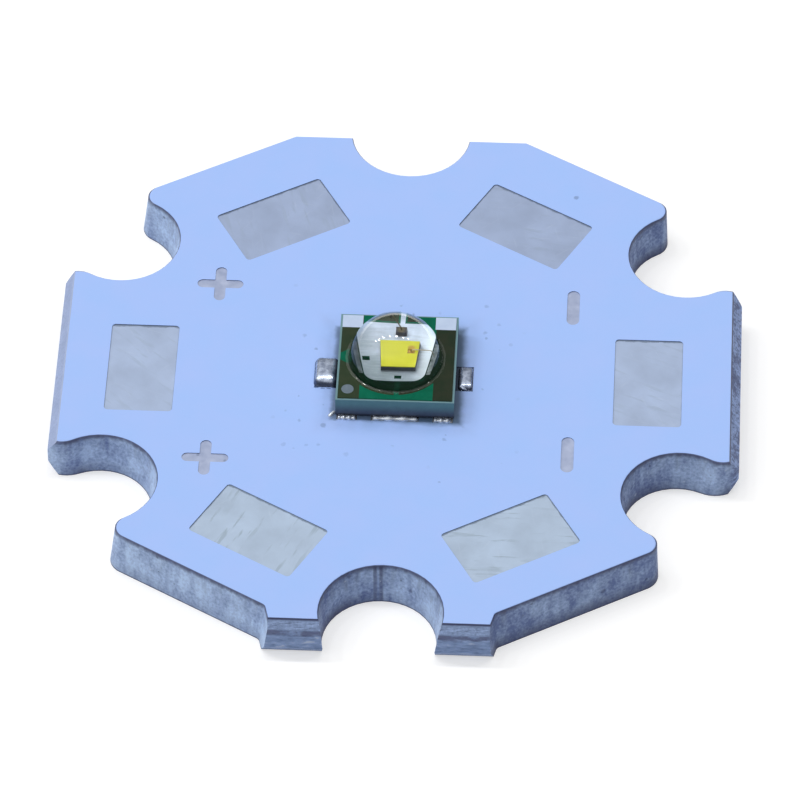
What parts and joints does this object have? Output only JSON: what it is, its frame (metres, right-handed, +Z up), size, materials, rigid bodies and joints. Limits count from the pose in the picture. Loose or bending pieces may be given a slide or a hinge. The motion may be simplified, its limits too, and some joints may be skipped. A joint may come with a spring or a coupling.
{
  "type": "star circuit board power led",
  "caption": "Star-shaped metal-core circuit board with notched edges, bare wire pads and a domed surface-mount power LED soldered at its centre.",
  "frame": {"origin": "middle of the underside, between the four snapped edges", "axes": "+Z up through the lens, +X towards the minus marks, +Y towards the back edge"},
  "size_m": [0.02, 0.0198, 0.0035],
  "materials": {
    "core_metal": "dull punched aluminium, grey-blue, with dark streaks down the walls",
    "insulation": "dark filled epoxy",
    "solder_mask": "smooth pale blue-white board lacquer",
    "copper": "bare copper foil, hidden under the lacquer",
    "tinned_pad": "tinned copper, satin, with smudges and fine scratches",
    "solder": "bright solder",
    "plated_metal": "plated metal, satin",
    "ceramic": "fine grey ceramic",
    "reflector": "bright silver, finely mottled",
    "dark_trace": "dark olive-brown coated metal",
    "white_mark": "white print",
    "green_lacquer": "deep green lacquer",
    "die_solder": "thin metal solder layer",
    "chip": "dark polished crystal",
    "converter": "yellow phosphor layer",
    "small_chip": "dark crystal",
    "gold_wire": "fine gold wire",
    "clear_silicone": "clear silicone, glossy"
  },
  "bodies": {
    "root": {"base_plate": "core_metal", "dielectric_layer": "insulation", "solder_mask": "solder_mask", "copper_land_left": "copper", "copper_land_middle": "copper", "copper_land_right": "copper", "wire_pad_right": "tinned_pad", "wire_pad_back_right": "tinned_pad", "wire_pad_back_left": "tinned_pad", "wire_pad_left": "tinned_pad", "wire_pad_front_left": "tinned_pad", "wire_pad_front_right": "tinned_pad", "plus_mark_back": "tinned_pad", "plus_mark_front": "tinned_pad", "minus_mark_back": "tinned_pad", "minus_mark_front": "tinned_pad", "solder_joint_left": "solder", "solder_joint_middle": "solder", "solder_joint_right": "solder", "terminal_left": "plated_metal", "terminal_middle": "plated_metal", "terminal_right": "plated_metal", "via_left": "plated_metal", "via_right": "plated_metal", "bond_land_left": "plated_metal", "bond_land_right": "plated_metal", "round_mark": "plated_metal", "ceramic_substrate": "ceramic", "reflector_pad": "reflector", "trace_left": "dark_trace", "trace_right": "dark_trace", "corner_mark_left": "white_mark", "corner_mark_right": "white_mark", "face_lacquer": "green_lacquer", "die_attach": "die_solder", "led_die": "chip", "light_converter": "converter", "protection_diode": "small_chip", "bond_wire_chip": "gold_wire", "bond_wire_diode": "gold_wire", "led_lens": "clear_silicone"}
  },
  "joints": []
}
